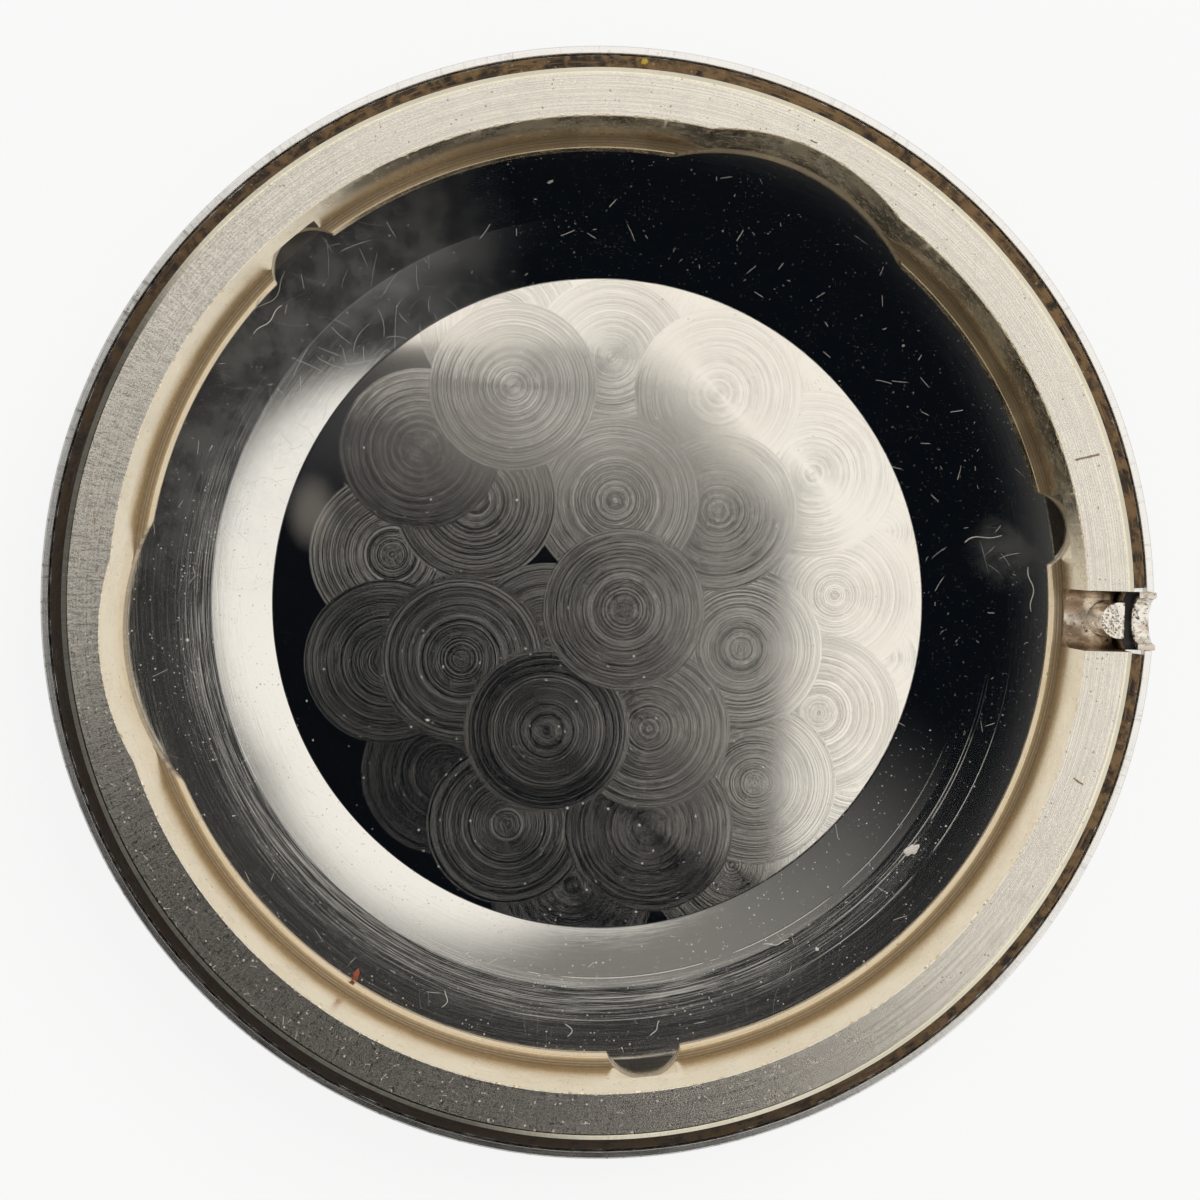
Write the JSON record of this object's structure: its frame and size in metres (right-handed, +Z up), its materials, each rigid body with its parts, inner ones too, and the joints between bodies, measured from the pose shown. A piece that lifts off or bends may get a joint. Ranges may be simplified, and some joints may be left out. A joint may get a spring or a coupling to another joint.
{
  "type": "watch case back",
  "caption": "Round stainless wristwatch case back with its casing ring, sealing ring and half stem tube, open side up.",
  "frame": {"origin": "centre of the flat on the underside that the case back rests on", "axes": "+Z up to the open side that faces the movement, +X outwards along the winding stem's slot"},
  "size_m": [0.0344, 0.0344, 0.0047],
  "materials": {
    "polished_steel": "mirror-polished dish with circular graining in the flat centre",
    "turned_steel": "circular brushed top, fine turned bore",
    "pitted_steel": "filed and pitted",
    "aged_seal": "dry and matt, with brown grime"
  },
  "bodies": {
    "back": {"back_shell": "polished_steel", "stem_tube_half": "pitted_steel"},
    "casing_ring": {"movement_ring": "turned_steel", "stem_rest": "pitted_steel"},
    "seal": {"sealing_gasket": "aged_seal"}
  },
  "joints": [
    {"name": "ring_lift", "type": "slide", "parent": "back", "child": "casing_ring", "axis": [0, 0, 1], "range_m": [0, 0.006]},
    {"name": "seal_lift", "type": "slide", "parent": "back", "child": "seal", "axis": [0, 0, 1], "range_m": [0, 0.01]}
  ]
}
